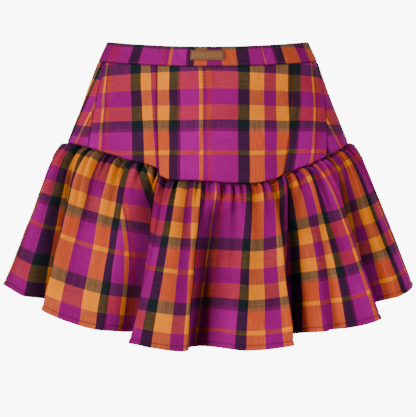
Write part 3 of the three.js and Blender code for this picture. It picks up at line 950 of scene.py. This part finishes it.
class Graph:
    """A material's nodes, made and linked in short lines."""

    def __init__(self, name):
        self.material = bpy.data.materials.new(name)
        self.material.use_nodes = True
        self.tree = self.material.node_tree
        self.tree.nodes.clear()
        out = self.tree.nodes.new("ShaderNodeOutputMaterial")
        self.shader = self.tree.nodes.new("ShaderNodeBsdfPrincipled")
        self.tree.links.new(self.shader.outputs[0], out.inputs[0])

    def put(self, socket, value):
        if isinstance(value, bpy.types.NodeSocket):
            self.tree.links.new(value, socket)
        else:
            socket.default_value = value

    def add(self, kind, inputs=(), output=0, **settings):
        node = self.tree.nodes.new(kind)
        for name, value in settings.items():
            setattr(node, name, value)
        for name, value in dict(inputs).items():
            self.put(node.inputs[name], value)
        return node.outputs[output]

    def math(self, operation, first, second=0.0):
        return self.add("ShaderNodeMath", {0: first, 1: second}, operation=operation)

    def scaled(self, vector, scale):
        return self.add("ShaderNodeVectorMath", {0: vector, 1: scale}, operation="MULTIPLY")

    def times(self, colour, share):
        return self.mixed(1.0, colour, share, "MULTIPLY")

    def chart(self, title):
        return self.add("ShaderNodeUVMap", uv_map=title)

    def split(self, vector):
        return self.add("ShaderNodeSeparateXYZ", {0: vector}).node.outputs[:2]

    def red(self, colour):
        return self.add("ShaderNodeSeparateColor", {0: colour})

    def noise(self, vector, detail=2.0, scale=1.0, output=0):
        inputs = {"Vector": vector, "Scale": scale, "Detail": detail}
        return self.add("ShaderNodeTexNoise", inputs, output)

    def mixed(self, share, first, second, blend="MIX"):
        inputs = {0: share, 6: first, 7: second}
        return self.add("ShaderNodeMix", inputs, 2, data_type="RGBA", blend_type=blend)

    def range(self, value, low, high, from_low=0.0, from_high=1.0):
        inputs = {0: value, 1: from_low, 2: from_high, 3: low, 4: high}
        return self.add("ShaderNodeMapRange", inputs)

    def finish(self, colour, bump_height, distance, strength, roughness, **values):
        self.put(self.shader.inputs["Base Color"], colour)
        inputs = {"Height": bump_height, "Distance": distance, "Strength": strength}
        self.put(self.shader.inputs["Normal"], self.add("ShaderNodeBump", inputs))
        self.put(self.shader.inputs["Roughness"], roughness)
        for name, value in values.items():
            self.shader.inputs[name.replace("_", " ")].default_value = value
        return self.material


def stripes(graph, socket, rows):
    """One repeat of coloured yarns along a coordinate in metres."""
    total = sum(width for _, width in rows)
    part = graph.math("FRACT", graph.math("MULTIPLY", socket, 1 / (total * MM)))
    colour = graph.add("ShaderNodeValToRGB", {0: part})
    colour.node.color_ramp.interpolation = "CONSTANT"
    stops = colour.node.color_ramp.elements
    at = 0.0
    for i, (yarn, width) in enumerate(rows):
        stop = stops[i] if i < 2 else stops.new(at / total)
        stop.position = at / total
        stop.color = (*(channel ** (1 / EYE) for channel in YARNS[yarn]), 1)
        at += width
    return colour


def plaid_material(name, light):
    """Twill of dyed yarns: stripes both ways, slubs along the yarns, a soft uneven fade and darker
    lines along the seams, with painted shade deep in folds and gathers, and a brightness level,
    light, that paints each copy lighter or darker.
    """
    graph = Graph(name)
    uv = graph.chart("cloth")
    drift = graph.noise(uv, 1.0, 16.0, 1)
    drift = graph.add("ShaderNodeVectorMath", {0: drift, 1: (0.5, 0.5, 0.5)}, operation="SUBTRACT")
    place = graph.add(
        "ShaderNodeVectorMath", {0: drift, 1: (0.003, 0.003, 0), 2: uv}, operation="MULTIPLY_ADD"
    )
    across, up = graph.split(place)
    warp_slub = graph.noise(graph.scaled(uv, (SLUB["thin"], SLUB["long"], 1.0)))
    weft_slub = graph.noise(graph.scaled(uv, (SLUB["long"], SLUB["thin"], 1.0)))
    warp_yarn = stripes(graph, across, WARP)
    weft_yarn = stripes(graph, graph.math("MULTIPLY", up, -1.0), WEFT)
    diagonal = graph.math("ADD", across, up)
    twill = graph.math("SINE", graph.math("MULTIPLY", diagonal, 2 * np.pi / (TWILL_PITCH * MM)))
    share = graph.math("ADD", graph.math("MULTIPLY", twill, 0.1), WARP_SHARE)
    slub_share = graph.math("SUBTRACT", warp_slub, weft_slub)
    share = graph.math("ADD", share, graph.math("MULTIPLY", slub_share, 0.5))
    woven = graph.mixed(share, weft_yarn, warp_yarn)
    woven = graph.add("ShaderNodeGamma", {"Color": woven, "Gamma": EYE})
    contrast = graph.math("SUBTRACT", graph.red(warp_yarn), graph.red(weft_yarn))
    contrast = graph.math("ABSOLUTE", contrast)
    woven = graph.add("ShaderNodeHueSaturation", {
        "Saturation": graph.range(contrast, 1.0, 0.8, 0.3, 0.85),
        "Value": graph.range(contrast, 1.0, 0.55, 0.15, 0.85),
        "Color": woven,
    })
    slubs = graph.math("ADD", warp_slub, weft_slub)
    # Painted shade: light sets the brightness of this copy of the plaid.
    woven = graph.times(woven, graph.range(slubs, 0.78 * light, 1.22 * light, 0.6, 1.4))
    fade = graph.noise(graph.scaled(uv, (22.0, 22.0, 1.0)), 3.0)
    woven = graph.times(woven, graph.range(fade, 0.9, 1.1, 0.3, 0.7))
    from_seam, deep = graph.split(graph.chart("edge"))
    woven = graph.times(woven, graph.range(from_seam, 0.42, 1.0, 0.0, 0.0017))
    # Painted shade: cloth deep between folds and in gathers is darkened towards the fold shade.
    woven = graph.times(woven, graph.range(deep, 1.0, PAINTED_FOLD_SHADE))
    height = graph.math("ADD", graph.math("MULTIPLY", twill, 0.3), slubs)
    rough = graph.range(weft_slub, 0.76, 0.92, 0.3, 0.7)
    return graph.finish(
        woven, height, 0.00012, 0.6, rough,
        Sheen_Weight=0.02, Sheen_Roughness=0.4, Specular_IOR_Level=0.08,
    )


def leather_material():
    """Tan leather: fine grain, soft clouds and a darker line where it is pressed."""
    graph = Graph("tan_leather")
    uv = graph.chart("cloth")
    grain = graph.add("ShaderNodeTexVoronoi", {"Vector": uv, "Scale": 1500.0, "Randomness": 1.0})
    clouds = graph.noise(uv, 3.0, 420.0)
    fine = graph.noise(uv, 3.0, 900.0)
    tone = graph.range(clouds, 0.25, 0.75, 0.3, 0.7)
    colour = graph.mixed(tone, (0.13, 0.048, 0.014, 1), (0.34, 0.155, 0.055, 1))
    colour = graph.times(colour, graph.range(fine, 0.75, 1.25, 0.3, 0.7))
    from_line, _ = graph.split(graph.chart("edge"))
    colour = graph.times(colour, graph.range(from_line, 0.42, 1.0, 0.0, 0.0009))
    height = graph.math("ADD", graph.math("MULTIPLY", grain, 0.6), fine)
    rough = graph.range(clouds, 0.32, 0.55, 0.3, 0.7)
    return graph.finish(colour, height, 0.0002, 0.7, rough, Specular_IOR_Level=0.5)


def thread_material(name, colour):
    """Twisted sewing thread."""
    graph = Graph(name)
    twist = graph.noise(graph.add("ShaderNodeTexCoord", output=3), 2.0, 2600.0)
    tone = graph.times(colour, graph.range(twist, 0.7, 1.3, 0.3, 0.7))
    return graph.finish(tone, twist, 0.0001, 0.8, 0.6, Sheen_Weight=0.2)


# Painted shade: the three copies of the plaid differ only in brightness; the yoke's and the band's
# are painted darker than the flounce's.
yoke_cloth = plaid_material("yoke_plaid", 0.9)
flounce_cloth = plaid_material("flounce_plaid", 1.0)
band_cloth = plaid_material("band_plaid", 0.85)
seam_thread = thread_material("seam_thread", (0.2, 0.012, 0.09, 1))
patch_thread = thread_material("patch_thread", (0.1, 0.05, 0.02, 1))

for number, panel in enumerate(PANELS):
    make_yoke(panel, number + 1, yoke_cloth)
    make_flounce(panel, number, flounce_cloth, seam_thread)
for number, band in enumerate(BANDS):
    make_band(band, number, band_cloth, seam_thread)
make_patch(leather_material(), patch_thread)

# The camera stands level, at the height of the middle of the flounce, 1.7 m from the skirt.
CAMERA = {"distance": 1.7, "height": -0.19085, "lens": 120.6, "side": 0.0003}
lens = bpy.data.cameras.new("camera")
lens.sensor_fit = "HORIZONTAL"
lens.sensor_width = 36
lens.lens = CAMERA["lens"]
camera = add_object("camera", lens)
camera.location = (CAMERA["side"], -CAMERA["distance"], CAMERA["height"])
camera.rotation_euler = (np.pi / 2, 0, 0)
bpy.context.scene.camera = camera

# Soft light from all round, with a white backdrop that only the camera sees, and the place that the
# lamps point at.
LIGHT = {"around": 0.17, "backdrop": 9.0}
AIM = (0, 0, -0.15)
world = bpy.data.worlds.new("studio")
bpy.context.scene.world = world
world.use_nodes = True
tree = world.node_tree
around = tree.nodes["Background"]
around.inputs[0].default_value = (1, 0.98, 0.96, 1)
around.inputs[1].default_value = LIGHT["around"]
backdrop = tree.nodes.new("ShaderNodeBackground")
backdrop.inputs[0].default_value = (1, 1, 1, 1)
backdrop.inputs[1].default_value = LIGHT["backdrop"]
seen = tree.nodes.new("ShaderNodeLightPath")
either = tree.nodes.new("ShaderNodeMixShader")
sources = [seen.outputs["Is Camera Ray"], around.outputs[0], backdrop.outputs[0]]
for source, socket in zip(sources, either.inputs):
    tree.links.new(source, socket)
tree.links.new(either.outputs[0], tree.nodes["World Output"].inputs[0])


def area_light(name, place, size, power):
    data = bpy.data.lights.new(name, "AREA")
    data.size = size
    data.energy = power
    light = add_object(name, data)
    light.location = place
    look = Vector(AIM) - Vector(place)
    light.rotation_euler = look.to_track_quat("-Z", "Y").to_euler()


area_light("key", (-2.1, -1.9, 0.9), 0.8, 84)
area_light("fill", (1.9, -1.9, 0.3), 1.2, 40)
area_light("back_fill", (0.6, 2.4, 0.9), 1.6, 34)

floor = bpy.data.meshes.new("floor")
ring = [(3 * np.cos(t), 3 * np.sin(t), -1.0) for t in np.linspace(0, 2 * np.pi, 64, endpoint=False)]
floor.from_pydata(ring, [], [list(range(64))])
pale = bpy.data.materials.new("pale_floor")
pale.use_nodes = True
pale.node_tree.nodes["Principled BSDF"].inputs["Base Color"].default_value = (0.8, 0.8, 0.8, 1)
floor.materials.append(pale)
add_object("floor", floor)
